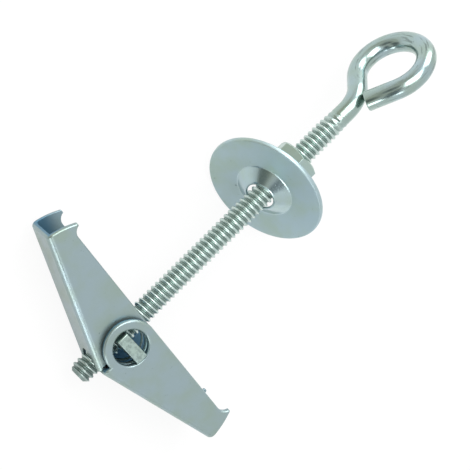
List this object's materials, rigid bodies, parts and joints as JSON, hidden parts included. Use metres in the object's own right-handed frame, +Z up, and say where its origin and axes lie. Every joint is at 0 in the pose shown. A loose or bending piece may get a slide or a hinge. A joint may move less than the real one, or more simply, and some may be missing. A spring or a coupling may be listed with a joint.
{
  "type": "spring toggle bolt",
  "caption": "Threaded bolt with a bent-wire eye, a loose dished washer, a hexagon nut and a sprung pair of folding sheet wings on a cross nut.",
  "frame": {"origin": "the middle of the bounding box's base, on the table that the bolt lies on", "axes": "X runs along the bolt toward the eye, Y across it toward the inner wing's tip, and Z up. The bolt rises about 9 degrees toward the eye."},
  "size_m": [0.0913, 0.054, 0.0245],
  "materials": {
    "plated_wire": "bright zinc plate on drawn wire, glossy, with drawing lines round the eye",
    "plated_nut": "zinc plate on cold-formed steel, half matt",
    "plated_sheet": "satin zinc plate on pressed sheet",
    "spring_steel": "plain spring wire"
  },
  "bodies": {
    "bolt": {"eye_bolt": "plated_wire"},
    "toggle_head": {"cross_nut": "plated_nut", "torsion_spring": "spring_steel"},
    "wing_a": {"inner_wing": "plated_sheet"},
    "wing_b": {"outer_wing": "plated_sheet"},
    "washer": {"dished_washer": "plated_sheet"},
    "nut": {"hex_nut": "plated_nut"}
  },
  "joints": [
    {"name": "toggle_travel", "type": "slide", "parent": "bolt", "child": "toggle_head", "axis": [0.9883, 0, 0.1525], "range_m": [-0.008, 0.004]},
    {"name": "wing_a_fold", "type": "hinge", "parent": "toggle_head", "child": "wing_a", "pos_m": [-0.03505, -0.00037, 0.00639], "axis": [-0.1524, -0.0253, 0.988], "range_deg": [-78, 0], "stiffness_Nm_per_rad": 0.006, "springref_deg": 45.84, "deforming": ["torsion_spring"]},
    {"name": "wing_b_fold", "type": "hinge", "parent": "toggle_head", "child": "wing_b", "pos_m": [-0.03505, -0.00037, 0.00639], "axis": [-0.1524, -0.0253, 0.988], "range_deg": [0, 78], "stiffness_Nm_per_rad": 0.006, "springref_deg": -45.84, "deforming": ["torsion_spring"]},
    {"name": "nut_turn", "type": "hinge", "parent": "washer", "child": "nut", "pos_m": [0.00942, -0.00037, 0.01325], "axis": [0.9883, 0, 0.1525], "range_deg": [-1191, 2722]},
    {"name": "washer_travel", "type": "slide", "parent": "bolt", "child": "washer", "axis": [0.9883, 0, 0.1525], "range_m": [-0.0035, 0.008]}
  ],
  "couplings": [
    {"joint": "nut_turn", "follows": "washer_travel", "rad_per_m": 5936.9}
  ]
}
